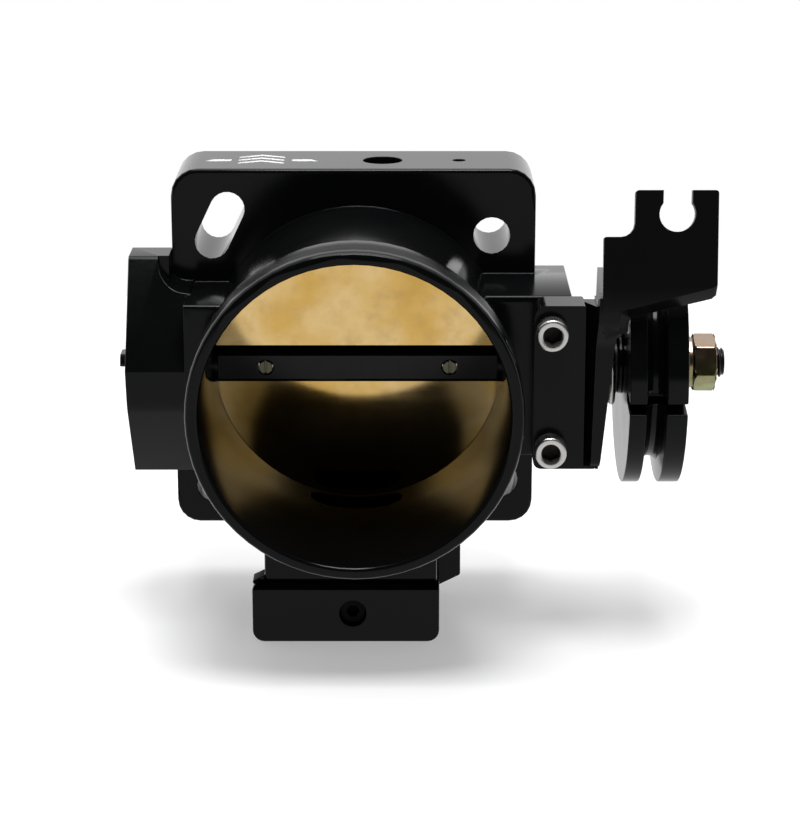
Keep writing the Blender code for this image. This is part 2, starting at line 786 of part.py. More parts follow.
def seat_outline(clearance):
    """Double-D outline that fits the flats of the shaft's cam seat."""
    radius = CAM_SEAT_R + clearance
    flat = SEAT_FLAT_Z + clearance
    edge = math.degrees(math.asin(flat / radius))
    right = arc((0.0, 0.0), radius, -edge, edge, 8)
    left = arc((0.0, 0.0), radius, 180.0 - edge, 180.0 + edge, 8)
    return right + left


def throttle_cam():
    """Grooved cable cam with its hub, cable nipple slot and idle stop tab."""
    left_lip = 72.3 * MM
    right_lip = 77.3 * MM
    cam = lathe(
        "throttle_cam",
        "X",
        [
            (66.9 * MM, 2.0 * MM),
            (66.9 * MM, HUB_R),
            (CAM_LEFT_X, HUB_R),
            (CAM_LEFT_X, CAM_R),
            (left_lip, CAM_R),
            (left_lip + 0.6 * MM, GROOVE_R + 1.0 * MM),
            (74.1 * MM, GROOVE_R),
            (75.5 * MM, GROOVE_R),
            (right_lip - 0.6 * MM, GROOVE_R + 1.0 * MM),
            (right_lip, CAM_R),
            (CAM_RIGHT_X, CAM_R),
            (CAM_RIGHT_X, HUB_R),
            (HUB_END_X, HUB_R),
            (HUB_END_X, 2.0 * MM),
        ],
        48,
    )
    counterbore = rod("counterbore", "X", 66.0 * MM, SHOULDER_X + 0.6 * MM, (0.0, 0.0), SHAFT_R + GAP)
    cut(cam, counterbore)
    cut(cam, prism("seat", "X", 66.0 * MM, 88.0 * MM, seat_outline(GAP)))
    join(cam, stop_tab())
    cut(cam, nipple_slot())
    return cam


def nipple_slot():
    """Slot across the rim for the cable's end, below the front of the cam."""
    slot = prism(
        "nipple_slot",
        "X",
        CAM_LEFT_X - 3.0 * MM,
        CAM_RIGHT_X + 3.0 * MM,
        rounded([(-38.0, -1.4, 0.0), (-21.0, -1.4, 1.3), (-21.0, 1.4, 1.3), (-38.0, 1.4, 0.0)], 4),
    )
    slot.data.transform(Matrix.Rotation(NIPPLE_ANGLE, 4, "X"))
    return slot


def stop_tab():
    """Bar on the cam's inner face that comes down on the idle stop screw."""
    tab = prism(
        "stop_tab",
        "X",
        55.8 * MM,
        CAM_LEFT_X + 1.0 * MM,
        rounded([(13.2, -1.6, 0.8), (18.2, -1.6, 0.8), (18.2, 1.6, 0.8), (13.2, 1.6, 0.8)], 3),
    )
    tab.data.transform(Matrix.Rotation(STOP_ANGLE, 4, "X"))
    return tab


def spring_bush():
    """Sleeve on the shaft that carries the return spring."""
    low = BLOCK_FACE_X + 0.5 * MM
    high = 66.9 * MM - GAP
    return lathe(
        "spring_bush",
        "X",
        [
            (low, SHAFT_R + GAP),
            (high, SHAFT_R + GAP),
            (high, 8.3 * MM),
            (low + 1.2 * MM, 8.3 * MM),
            (low + 1.2 * MM, 9.6 * MM),
            (low, 9.6 * MM),
        ],
        36,
    )


def return_spring():
    """Torsion spring round the bush, with a leg at each end."""
    wire = 0.85 * MM
    coil_r = 10.2 * MM
    start_x = 57.3 * MM
    pitch = 1.95 * MM
    turns = 4.75
    per_turn = 16
    points = [(start_x, -coil_r + 1.2 * MM, 15.2 * MM), (start_x, -coil_r + 0.1 * MM, 8.0 * MM)]
    steps = int(turns * per_turn)
    for index in range(steps + 1):
        angle = math.radians(180.0) + 2.0 * math.pi * index / per_turn
        x = start_x + pitch * index / per_turn
        points.append((x, coil_r * math.cos(angle), coil_r * math.sin(angle)))
    last = points[-1]
    points.append((last[0] + 0.2 * MM, last[1] - 4.0 * MM, last[2] - 0.2 * MM))
    points.append((last[0] + 0.2 * MM, last[1] - 6.0 * MM, last[2] - 1.6 * MM))
    return swept_wire("return_spring", points, wire)


def swept_wire(name, points, radius):
    """Round wire swept along a path by a bevelled curve, then made a mesh."""
    curve = bpy.data.curves.new(name, "CURVE")
    curve.dimensions = "3D"
    curve.bevel_depth = radius
    curve.bevel_resolution = 1
    curve.use_fill_caps = True
    line = curve.splines.new("POLY")
    line.points.add(len(points) - 1)
    for slot, point in zip(line.points, points):
        slot.co = (*point, 1.0)
    guide = bpy.data.objects.new(name + "_path", curve)
    bpy.context.scene.collection.objects.link(guide)
    bpy.context.view_layer.update()
    evaluated = guide.evaluated_get(bpy.context.evaluated_depsgraph_get())
    mesh = bpy.data.meshes.new_from_object(evaluated)
    bpy.data.objects.remove(guide)
    shape = bmesh.new()
    shape.from_mesh(mesh)
    bmesh.ops.remove_doubles(shape, verts=shape.verts, dist=0.001 * MM)
    return object_from(name, shape)


def cam_washer():
    low = HUB_END_X + GAP
    return lathe("cam_washer", "X", tube_profile(low, low + WASHER_THICKNESS, CAM_SEAT_R + GAP, 6.6 * MM), 24)


def hexagon(across_flats, turn):
    """Outline of a hexagon, turned by an angle in degrees."""
    corner = across_flats / math.sqrt(3.0)
    return arc((0.0, 0.0), corner, turn, turn + 300.0, 5)


def cam_nut():
    """M8 hexagon nut with chamfered corners."""
    low = HUB_END_X + 2.0 * GAP + WASHER_THICKNESS
    high = low + NUT_THICKNESS
    nut = prism("cam_nut", "X", low, high, hexagon(13.0 * MM, 15.0))
    ball = lathe(
        "crown",
        "X",
        [
            (low - 1.0 * MM, 0.0),
            (low - 1.0 * MM, 5.9 * MM),
            (low, 6.7 * MM),
            (low + 0.7 * MM, 7.7 * MM),
            (high - 0.7 * MM, 7.7 * MM),
            (high, 6.7 * MM),
            (high + 1.0 * MM, 5.9 * MM),
            (high + 1.0 * MM, 0.0),
        ],
        36,
    )
    combine(nut, ball, "INTERSECT")
    cut(nut, rod("thread", "X", low - 2.0 * MM, high + 2.0 * MM, (0.0, 0.0), STUD_R + GAP, 24))
    return nut


# ---------------------------------------------------------------- bracket

def bracket_front_wall():
    """Thick front wall that the two screws hold against the block."""
    outline = rounded([(44.5, 20.4, 3.0), (57.2, 20.4, 0.6), (57.2, -22.0, 0.0), (44.5, -22.0, 2.0)], 4)
    return prism("cable_bracket", "Y", BRACKET_FRONT_Y, BLOCK_FRONT_Y - GAP, outline)


def bracket_side_wall():
    """Leaning side wall with an arch over the spring."""
    wall = prism(
        "side_wall",
        "X",
        WALL_LEFT[0],
        WALL_RIGHT[0],
        rounded(
            [
                (-24.0, -22.0, 3.5),
                (-24.0, 10.0, 6.0),
                (-29.4, 18.0, 6.0),
                (-29.4, 24.0, 0.0),
                (-25.0, 24.0, 2.0),
                (-22.0, 20.4, 2.0),
                (22.0, 20.4, 1.5),
                (22.0, 15.2, 1.5),
                (0.0, 15.2, 0.0),
                (-9.0, 11.0, 3.0),
                (-13.4, 3.0, 6.0),
                (-13.4, -10.0, 4.0),
                (-16.0, -22.0, 3.0),
            ],
            4,
        ),
    )
    for vertex in wall.data.vertices:
        face = min((WALL_LEFT, WALL_RIGHT), key=lambda side: abs(side[0] - vertex.co.x))
        vertex.co.x = face[0] + face[1] * vertex.co.z
    corner = rounded([(59.4, -23.0, 0.0), (63.0, -23.0, 0.0), (63.0, -19.4, 0.0)])
    cut(wall, prism("wall_corner", "Y", -26.0 * MM, -10.0 * MM, corner))
    thinning = rounded([(58.0, -11.5, 0.0), (60.4, -11.5, 0.0), (63.2, 23.0, 0.0), (58.0, 23.0, 0.0)])
    cut(wall, prism("wall_thinning", "Z", 10.0 * MM, 30.0 * MM, thinning))
    return wall


def bracket_gusset():
    """Block under the arm, above the front of the spring."""
    outline = rounded([(61.0, 14.5, 0.0), (67.3, 14.5, 0.8), (67.3, 22.0, 0.0), (61.0, 22.0, 0.0)], 3)
    return prism("gusset", "Y", -27.5 * MM, -15.0 * MM, outline)


def bracket_web():
    """Web that joins the front wall and the side wall, its face slanting back into a groove."""
    corners = [(56.5, -15.0), (60.4, -22.5), (61.0, -22.5), (61.0, -13.4), (56.5, -13.4)]
    web = prism("web", "Z", -22.0 * MM, 20.0 * MM, rounded([(a, b, 0.0) for a, b in corners]))
    floor = rounded([(a, b, 0.0) for a, b in oblong(56.5, 60.0, -22.0, -21.2)])
    join(web, prism("floor", "Y", BRACKET_FRONT_Y, -14.0 * MM, floor))
    return web


def keyhole(top):
    """Open keyhole for the cable's adjuster, listed from right to left."""
    centre = (78.5, top - 5.9)
    radius = 4.45
    half_neck = 3.55
    lift = math.degrees(math.acos(half_neck / radius))
    ring = arc(centre, radius, lift, -180.0 - lift, 22)
    lips = [(centre[0] + half_neck, top), (centre[0] - half_neck, top)]
    return [(a, b, 0.0) for a, b in lips[:1] + ring + lips[1:]]


def arm_outline(top, lower_edge):
    """The arm's outline round a lower edge listed from left to right, in millimetres."""
    step = top - 11.6
    ear = [(68.2, top, 0.8), (68.2, step, 3.4), (60.7, step, 0.6)]
    edge = [(a, b, 0.0) for a, b in lower_edge]
    return rounded(keyhole(top) + ear + edge + [(88.4, top, 0.8)], 4)


def cable_arm():
    """Upright plate for the cable, its upper and lower edges sloping down towards the back."""
    front = arm_outline(
        ARM_TOP,
        [(60.7, 20.5), (64.0, 20.9), (67.9, 21.5), (87.8, 26.8), (88.8, 27.6)],
    )
    back = arm_outline(
        ARM_TOP - 0.75,
        [(61.6, 12.5), (66.8, 14.8), (67.9, 18.5), (87.8, 23.3), (88.8, 24.2)],
    )
    return loft("arm", "Y", ARM_FRONT_Y, front, ARM_BACK_Y, back)


def cable_bracket():
    """Screwed-on bracket that holds the cable above and in front of the cam."""
    bracket = bracket_front_wall()
    for piece in (bracket_web(), bracket_side_wall(), bracket_gusset(), cable_arm()):
        join(bracket, piece)
    for z in BRACKET_SCREW_Z:
        centre = (BRACKET_SCREW_X, z)
        cut(bracket, rod("screw_hole", "Y", -30.0 * MM, -8.0 * MM, centre, 2.5 * MM + GAP, 20))
    return bracket


def bracket_screw(name, z):
    """M5 socket head cap screw along Y."""
    head_back = BRACKET_FRONT_Y - GAP
    head_front = head_back - 5.0 * MM
    head_r = 4.05 * MM
    screw = lathe(
        name,
        "Y",
        [
            (head_front, 0.0),
            (head_front, head_r - 0.5 * MM),
            (head_front + 0.5 * MM, head_r),
            (head_back, head_r),
            (head_back, 2.5 * MM),
            (0.9 * MM, 2.5 * MM),
            (1.5 * MM, 1.9 * MM),
            (1.5 * MM, 0.0),
        ],
        28,
    )
    socket = hexagon(4.0 * MM, 30.0)
    cut(screw, prism("socket", "Y", head_front - 1.0 * MM, head_front + 2.6 * MM, socket))
    screw.data.transform(Matrix.Translation((BRACKET_SCREW_X, 0.0, z)))
    return screw


# ---------------------------------------------------------------- small fittings

def port_plug():
    """Screw plug with a hexagon socket, in the front of the idle air pad."""
    front = PAD_FRONT_Y + 1.8 * MM
    plug = rod("idle_port_plug", "Y", front, PLUG_END_Y, (0.0, 0.0), PLUG_R, 24)
    cut(plug, prism("socket", "Y", front - 1.0 * MM, front + 3.0 * MM, hexagon(3.0 * MM, 0.0)))
    plug.data.transform(Matrix.Translation((PLUG_X, 0.0, PLUG_Z)))
    return plug


def idle_stop_screw():
    """Slotted set screw that the cam's tab rests on."""
    tip = -11.6 * MM
    screw = lathe(
        "idle_stop_screw",
        "Z",
        [
            (-27.0 * MM, 0.0),
            (-27.0 * MM, STOP_SCREW_R),
            (tip - 0.6 * MM, STOP_SCREW_R),
            (tip, STOP_SCREW_R - 0.7 * MM),
            (tip, 0.0),
        ],
        20,
    )
    slot = oblong(-0.35 * MM, 0.35 * MM, -3.0 * MM, 3.0 * MM)
    cut(screw, prism("driver_slot", "Z", -29.0 * MM, -25.8 * MM, slot))
    screw.data.transform(Matrix.Translation((STOP_SCREW_X, STOP_SCREW_Y, 0.0)))
    return screw


def idle_stop_nut():
    """Lock nut under the lug."""
    high = -18.0 * MM - GAP
    nut = prism("idle_stop_nut", "Z", high - 2.8 * MM, high, hexagon(7.0 * MM, 30.0))
    cut(nut, rod("thread", "Z", high - 5.0 * MM, high + 2.0 * MM, (0.0, 0.0), STOP_SCREW_R + GAP, 20))
    nut.data.transform(Matrix.Translation((STOP_SCREW_X, STOP_SCREW_Y, 0.0)))
    return nut


# ---------------------------------------------------------------- assembly

def build():
    clear_scene()
    centre = bpy.data.objects.new("axis_crossing", None)
    centre.location = (0.0, 0.0, AXIS_Z)
    bpy.context.scene.collection.objects.link(centre)
    pieces = [
        (housing(), BLACK_ANODISED),
        (throttle_shaft(), BLACK_ANODISED),
        (throttle_plate(), BRASS),
        (plate_screw("plate_screw_left", -SCREW_X), BRIGHT_STEEL),
        (plate_screw("plate_screw_right", SCREW_X), BRIGHT_STEEL),
        *ball_bearing("tps", TPS_BEARING_X),
        (shaft_seal("tps_shaft_seal", TPS_BEARING_X, 1.0), BLACK_RUBBER),
        (retaining_ring("tps_retaining_ring", TPS_BEARING_X, 1.0), SPRING_STEEL),
        *ball_bearing("cam", CAM_BEARING_X),
        (shaft_seal("cam_shaft_seal", CAM_BEARING_X, -1.0), BLACK_RUBBER),
        (retaining_ring("cam_retaining_ring", CAM_BEARING_X, -1.0), SPRING_STEEL),
        (spring_bush(), BLACK_NYLON),
        (return_spring(), SPRING_STEEL),
        (throttle_cam(), BLACK_ANODISED),
        (cam_washer(), ZINC_YELLOW),
        (cam_nut(), ZINC_YELLOW),
        (cable_bracket(), BLACK_PAINT),
        (bracket_screw("bracket_screw_upper", BRACKET_SCREW_Z[0]), BRIGHT_STEEL),
        (bracket_screw("bracket_screw_lower", BRACKET_SCREW_Z[1]), BRIGHT_STEEL),
        (port_plug(), BLACK_ANODISED),
        (idle_stop_screw(), BRIGHT_STEEL),
        (idle_stop_nut(), BRIGHT_STEEL),
    ]
    for piece, look in pieces:
        finish(piece, look, centre)


build()
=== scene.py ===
"""Looks of the cable-operated throttle body: fine edges, fasteners, finishes and a small studio.

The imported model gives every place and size. Lengths are in metres, and MM turns millimetres into
them. +Z is up, +Y runs along the bore towards the engine and +X points at the cable cam.
"""

import json
import math

import bmesh
import bpy
from mathutils import Matrix, Vector

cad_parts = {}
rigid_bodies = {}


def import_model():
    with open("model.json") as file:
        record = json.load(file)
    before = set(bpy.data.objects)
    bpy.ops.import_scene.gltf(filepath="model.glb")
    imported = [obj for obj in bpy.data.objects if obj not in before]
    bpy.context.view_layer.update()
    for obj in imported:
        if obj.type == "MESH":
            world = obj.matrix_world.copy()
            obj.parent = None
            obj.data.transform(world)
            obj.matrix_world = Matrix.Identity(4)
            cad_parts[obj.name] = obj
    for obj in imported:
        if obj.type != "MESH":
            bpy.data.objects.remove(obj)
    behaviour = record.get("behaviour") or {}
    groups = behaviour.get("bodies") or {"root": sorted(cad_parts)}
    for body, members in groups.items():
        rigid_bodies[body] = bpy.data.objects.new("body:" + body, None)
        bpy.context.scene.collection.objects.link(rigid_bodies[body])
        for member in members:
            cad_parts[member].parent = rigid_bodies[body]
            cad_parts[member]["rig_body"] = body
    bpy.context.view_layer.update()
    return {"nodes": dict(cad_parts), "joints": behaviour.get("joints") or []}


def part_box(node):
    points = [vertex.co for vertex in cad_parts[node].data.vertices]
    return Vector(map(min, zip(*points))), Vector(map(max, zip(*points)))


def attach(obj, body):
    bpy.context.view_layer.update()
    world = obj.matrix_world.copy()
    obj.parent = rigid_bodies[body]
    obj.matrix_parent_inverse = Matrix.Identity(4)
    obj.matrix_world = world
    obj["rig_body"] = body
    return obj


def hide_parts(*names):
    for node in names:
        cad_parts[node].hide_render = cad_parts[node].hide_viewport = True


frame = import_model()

MM = 0.001
AXIS_Z = frame["joints"][0]["pos_m"][2]         # height of the bore and shaft axes

WELD = 0.002 * MM                               # CAD corners closer than this are one corner
FLAT_ANGLE = math.radians(0.6)                  # CAD faces closer than this are one face
SHARP_ANGLE = math.radians(25.0)                # edges sharper than this get a radius

EDGE_R = 0.20 * MM                              # radius along the housing's ordinary edges
BROAD_EDGE_R = 0.35 * MM                        # bracket and cam
NUT_EDGE_R = 0.30 * MM
SHAFT_EDGE_R = 0.25 * MM
TURNED_EDGE_R = 0.15 * MM                       # small turned pieces
STOP_NUT_EDGE_R = 0.20 * MM
PLUG_EDGE_R = 0.10 * MM
RING_EDGE_R = 0.12 * MM                         # bearing rings, seals and retaining rings
FINE_EDGE_R = 0.08 * MM                         # cages and plate screws
PLATE_EDGE_R = 0.05 * MM
RIM_R = 1.1 * MM                                # softer radius round the flange's front
RIM_Y = 13.4 * MM                               # the flange's front face
RIM_CENTRE_X = -1.2 * MM
RIM_HALF_WIDTH = 47.4 * MM
RIM_HALF_HEIGHT = 48.0 * MM
RIM_FROM = 33.0 * MM                            # the soft rim runs this far above or below the axes
RIM_REACH = 0.94                                # and only in this outer share of the flange
RIM_TOLERANCE = 0.05 * MM

PLATE_RIM_FROM = 35.0 * MM                      # plate corners beyond this lie on its rim
PLATE_FIT_R = 36.94 * MM                        # the plate's rim, just clear of the bore

HEAD_HEIGHT = 5.0 * MM                          # M5 socket head cap screw
HEAD_RIM = 0.5 * MM
SOCKET_WIDTH = 4.0 * MM
SOCKET_MOUTH_R = 2.45 * MM
M5_SHANK_R = 2.45 * MM
KNURLS = 36
KNURL_DEPTH = 0.12 * MM
SOCKET_DEPTH = 2.3 * MM
SOCKET_CORNER = math.radians(50.0)              # sharper corners of the screw stay crisp

M8_ROOT_R = 3.3 * MM
M8_CREST_R = 3.95 * MM
M8_PITCH = 1.25 * MM
THREAD_RINGS = 44                               # rings along the stud, and points round each
THREAD_POINTS = 72
THREAD_CORNER = math.radians(40.0)
THREAD_OVERLAP = 0.3 * MM                       # the stud reaches this far into the shaft
THREAD_CHAMFER = 0.7 * MM
STUD_INSIDE_NUT = 1.5 * MM                      # the thread starts this far inside the nut's face

WIRE_R = 0.85 * MM                              # return spring
COIL_R = 10.2 * MM                              # centre line of its coil
COIL_PITCH = 1.95 * MM
COIL_TURNS = 4.75
COIL_STEPS = 40                                 # points in one turn
UPRIGHT_LEG_TOP = 15.2 * MM                     # heights above the axis of the housing end's leg
UPRIGHT_LEG_LOW = 8.0 * MM
CAM_LEG_REACH = 6.0 * MM                        # the cam end's leg runs this far forward
CAM_LEG_BEND = 4.0 * MM                         # and bends down here

BALL_R = 1.19 * MM                              # a hair under the bearings' 2.4 mm balls

MARK_X = -25.5 * MM                             # middle of the air flow mark on the flange's top
MARK_Y = 25.5 * MM
MARK_LIFT = 0.005 * MM
MARK_THICKNESS = 0.02 * MM
CHEVRONS = 3
CHEVRON_HALF_WIDTH = 6.0                        # the mark's own sizes are in millimetres
CHEVRON_RISE = 3.0
CHEVRON_STROKE = 1.8
CHEVRON_STEP = 4.0
CHEVRON_START = -4.5
BAR_INNER = 8.0
BAR_OUTER = 15.0
BAR_SLANT = 2.0
BAR_LOW = -1.0
BAR_HIGH = 1.6

GLOSS_IOR = 1.225                               # faint sheen of the black coatings
COLLAR_IOR = 1.085                              # duller on the turned hose collar
ARM_IOR = 1.12                                  # and on the bracket's arm
COLLAR_SKIN_R = (40.6 * MM, 40.9 * MM)          # where the hose collar's turned skin begins
COLLAR_BACK_Y = (-44.5 * MM, -41.0 * MM)        # where its dull middle fades out, at the back
COLLAR_FRONT_Y = (-51.5 * MM, -50.0 * MM)       # and at the front
ARM_FADE_Z = (19.0 * MM, 27.0 * MM)             # heights above the axes where the arm turns duller
ZINC_FADE_Z = 7.0 * MM                          # the zinc's colour drifts this far up and down

DARK_SIDE = 0.03                                # brightness of the room behind the camera
DIM_FLOOR = 0.87                                # of the sheet below the object
FLOOR_FILL = 0.36                               # light the sheet gives off, which thins the shadow
WHITE_WALL = 1.05                               # of the wall behind the object
SHEET_SIDE = 0.75                               # the sheet's reach to either side, in metres
SHEET_FRONT = -0.17
SHEET_BACK = 0.36

KEY_LIGHT = ((0.05, -0.22, 0.85), 0.32, 5.5)    # place, size in metres, power in watts
OVERHEAD_LIGHT = ((0.0, 0.16, 0.95), 0.6, 5.1)
CAMERA_PLACE = (0.0109, -0.6671, 0.2475)
CAMERA_DIP = math.radians(16.03)                # how far it looks down
LENS = 116.56                                   # millimetres, on a 36 mm wide sensor
SENSOR = 36.0

BLACK = "black_aluminium"
BRACKET_BLACK = "black_steel"
STEEL = "bright_steel"


# ---------------------------------------------------------------- material graphs

class Graph:
    """A material whose nodes are added and linked one at a time. Places are in metres."""

    def __init__(self, name):
        self.material = bpy.data.materials.new(name)
        self.material.use_nodes = True
        self.tree = self.material.node_tree
        self.shader = self.tree.nodes["Principled BSDF"]
        self.place = self.add("ShaderNodeTexCoord").outputs["Object"]

    def add(self, kind, **settings):
        made = self.tree.nodes.new(kind)
        for key, value in settings.items():
            setattr(made, key, value)
        return made

    def feed(self, socket, value):
        """Link a socket to another node's output, or give it a plain value."""
        if isinstance(value, bpy.types.NodeSocket):
            self.tree.links.new(value, socket)
        else:
            socket.default_value = value

    def look(self, **values):
        """Set inputs of the Principled shader; an underscore in a name stands for a space."""
        for key, value in values.items():
            self.feed(self.shader.inputs[key.replace("_", " ")], value)

    def stretched(self, scale):
        """The place vector, scaled by a different factor along each axis."""
        mapping = self.add("ShaderNodeMapping")
        self.feed(mapping.inputs["Vector"], self.place)
        mapping.inputs["Scale"].default_value = scale
        return mapping.outputs["Vector"]

    def axis(self, letter):
        """The place along one axis."""
        split = self.add("ShaderNodeSeparateXYZ")
        self.feed(split.inputs[0], self.place)
        return split.outputs[letter]

    def noise(self, scale, detail=3.0, place=None):
        made = self.add("ShaderNodeTexNoise")
        self.feed(made.inputs["Vector"], place or self.place)
        made.inputs["Scale"].default_value = scale
        made.inputs["Detail"].default_value = detail
        return made.outputs["Fac"]

    def remap(self, value, low, high, to_low, to_high):
        """Clamped change of range."""
        made = self.add("ShaderNodeMapRange")
        self.feed(made.inputs["Value"], value)
        set_range(made, low, high, to_low, to_high)
        return made.outputs["Result"]

    def maths(self, operation, first, second):
        made = self.add("ShaderNodeMath", operation=operation)
        self.feed(made.inputs[0], first)
        self.feed(made.inputs[1], second)
        return made.outputs[0]

    def sum(self, first, second):
        return self.maths("ADD", first, second)

    def blend(self, share, first, second):
        """Mix two colours."""
        made = self.add("ShaderNodeMix", data_type="RGBA")
        self.feed(made.inputs["Factor"], share)
        self.feed(made.inputs["A"], colour(first))
        self.feed(made.inputs["B"], colour(second))
        return made.outputs["Result"]

    def bands(self, share, stops):
        """Colour ramp through (position, colour) stops."""
        made = self.add("ShaderNodeValToRGB")
        self.feed(made.inputs["Fac"], share)
        elements = made.color_ramp.elements
        while len(elements) < len(stops):
            elements.new(0.5)
        for element, (position, shade) in zip(elements, stops):
            element.position = position
            element.color = colour(shade)
        return made.outputs["Color"]

    def edges(self, radius):
        """1 along edges and 0 on flats: how far a rounded edge would turn the surface there."""
        bevel = self.add("ShaderNodeBevel", samples=4)
        bevel.inputs["Radius"].default_value = radius
        geometry = self.add("ShaderNodeNewGeometry")
        product = self.add("ShaderNodeVectorMath", operation="DOT_PRODUCT")
        self.feed(product.inputs[0], bevel.outputs["Normal"])
        self.feed(product.inputs[1], geometry.outputs["Normal"])
        return self.remap(product.outputs["Value"], 0.995, 0.90, 0.0, 1.0)

    def collar_mask(self):
        """1 on the turned outside of the inlet tube's collar, fading at its two ends, 0 elsewhere."""
        height = self.maths("SUBTRACT", self.axis("Z"), AXIS_Z)
        square = self.sum(self.maths("POWER", self.axis("X"), 2.0), self.maths("POWER", height, 2.0))
        outside = self.remap(self.maths("SQRT", square, 0.0), *COLLAR_SKIN_R, 0.0, 1.0)
        before_end = self.remap(self.axis("Y"), *COLLAR_BACK_Y, 1.0, 0.0)
        after_front = self.remap(self.axis("Y"), *COLLAR_FRONT_Y, 0.0, 1.0)
        return self.maths("MULTIPLY", outside, self.maths("MULTIPLY", before_end, after_front))

    def bump(self, height, depth, below=None):
        """Relief of a given depth, laid over another relief if there is one."""
        made = self.add("ShaderNodeBump")
        self.feed(made.inputs["Height"], height)
        made.inputs["Distance"].default_value = depth
        if below:
            self.feed(made.inputs["Normal"], below)
        return made.outputs["Normal"]


def set_range(node, low, high, to_low, to_high):
    """Fill in a Map Range node's two ranges."""
    for name, number in zip(("From Min", "From Max", "To Min", "To Max"), (low, high, to_low, to_high)):
        node.inputs[name].default_value = number


def colour(shade):
    """Pass a socket on, and make an RGBA from an RGB, an RGBA or a grey."""
    if isinstance(shade, bpy.types.NodeSocket):
        return shade
    if isinstance(shade, float):
        return (shade, shade, shade, 1.0)
    return (*shade[:3], 1.0)


def anodised_black():
    """Satin black anodised aluminium: fine blasted grain, faint cutter lines, paler worn edges."""
    graph = Graph("anodised_black")
    clouds = graph.noise(55.0, 4.0)
    grain = graph.noise(2600.0, 2.0)
    lines = graph.noise(160.0, 2.0, graph.stretched((1.0, 18.0, 1.0)))
    turned = graph.collar_mask()
    wear = graph.maths("MULTIPLY", graph.edges(0.22 * MM), graph.remap(clouds, 0.35, 0.65, 0.2, 0.8))
    body = graph.blend(clouds, (0.0016, 0.0018, 0.0019), (0.0034, 0.0036, 0.0038))
    graph.look(Base_Color=graph.blend(wear, body, (0.012, 0.012, 0.013)))
    rough = graph.sum(graph.remap(clouds, 0.3, 0.7, 0.10, 0.14), graph.remap(lines, 0.3, 0.7, 0.0, 0.03))
    graph.look(Roughness=graph.sum(rough, graph.remap(turned, 0.0, 1.0, 0.0, 0.12)))
    graph.look(IOR=graph.remap(turned, 0.0, 1.0, GLOSS_IOR, COLLAR_IOR))
    relief = graph.bump(lines, 0.002 * MM)
    graph.look(Normal=graph.bump(grain, 0.003 * MM, relief))
    return graph.material


def coated_black():
    """Black coated sheet steel: slight orange peel, dust-dull patches, rubbed edges."""
    graph = Graph("coated_black")
    clouds = graph.noise(70.0, 4.0)
    peel = graph.noise(900.0, 2.0)
    wear = graph.maths("MULTIPLY", graph.edges(0.25 * MM), graph.remap(clouds, 0.35, 0.6, 0.2, 1.0))
    body = graph.blend(clouds, (0.0018, 0.0018, 0.0019), (0.0038, 0.0038, 0.0040))
    graph.look(Base_Color=graph.blend(wear, body, (0.013, 0.013, 0.014)))
    low, high = ARM_FADE_Z
    arm = graph.remap(graph.axis("Z"), AXIS_Z + low, AXIS_Z + high, 0.0, 1.0)
    rough = graph.sum(graph.remap(clouds, 0.3, 0.7, 0.14, 0.20), graph.remap(arm, 0.0, 1.0, 0.0, 0.15))
    graph.look(Roughness=rough, IOR=graph.remap(arm, 0.0, 1.0, GLOSS_IOR, ARM_IOR))
    graph.look(Normal=graph.bump(peel, 0.006 * MM))
    return graph.material


def oxide_black():
    """Black oxide on turned steel: fine rings round the shaft."""
    graph = Graph("oxide_black")
    rings = graph.noise(2200.0, 1.0, graph.stretched((1.0, 0.004, 0.004)))
    clouds = graph.noise(90.0, 3.0)
    wear = graph.edges(0.2 * MM)
    body = graph.blend(clouds, (0.0035, 0.0035, 0.0040), (0.0060, 0.0058, 0.0064))
    graph.look(Base_Color=graph.blend(wear, body, (0.03, 0.029, 0.027)))
    graph.look(Roughness=graph.remap(rings, 0.3, 0.7, 0.20, 0.25), IOR=1.3)
    graph.look(Normal=graph.bump(rings, 0.0004 * MM))
    return graph.material


def mottled_brass():
    """Half-polished brass sheet: heat and finger stains, soft rolling marks, fine scratches."""
    graph = Graph("mottled_brass")
    stains = graph.noise(46.0, 5.0)
    specks = graph.noise(210.0, 4.0)
    rolling = graph.noise(420.0, 2.0, graph.stretched((0.06, 1.0, 1.0)))
    base = graph.bands(
        stains,
        [
            (0.30, (0.54, 0.33, 0.075)),
            (0.44, (0.66, 0.42, 0.12)),
            (0.58, (0.76, 0.54, 0.24)),
            (0.76, (0.60, 0.37, 0.10)),
        ],
    )
    graph.look(Base_Color=graph.blend(graph.remap(specks, 0.52, 0.75, 0.0, 0.4), base, (0.46, 0.30, 0.13)))
    rough = graph.sum(graph.remap(stains, 0.3, 0.7, 0.06, 0.11), graph.remap(rolling, 0.3, 0.7, 0.0, 0.02))
    graph.look(Metallic=1.0, Roughness=rough)
    relief = graph.bump(stains, 0.02 * MM)
    graph.look(Normal=graph.bump(rolling, 0.0006 * MM, relief))
    return graph.material


def dull_brass():
    """Tarnished brass-plated screw: olive grey, a little rough."""
    graph = Graph("dull_brass")
    clouds = graph.noise(900.0, 3.0)
    graph.look(Base_Color=graph.blend(clouds, (0.15, 0.145, 0.095), (0.26, 0.25, 0.17)))
    graph.look(Metallic=0.8, Roughness=graph.remap(clouds, 0.3, 0.7, 0.32, 0.45))
    graph.look(Normal=graph.bump(clouds, 0.003 * MM))
    return graph.material


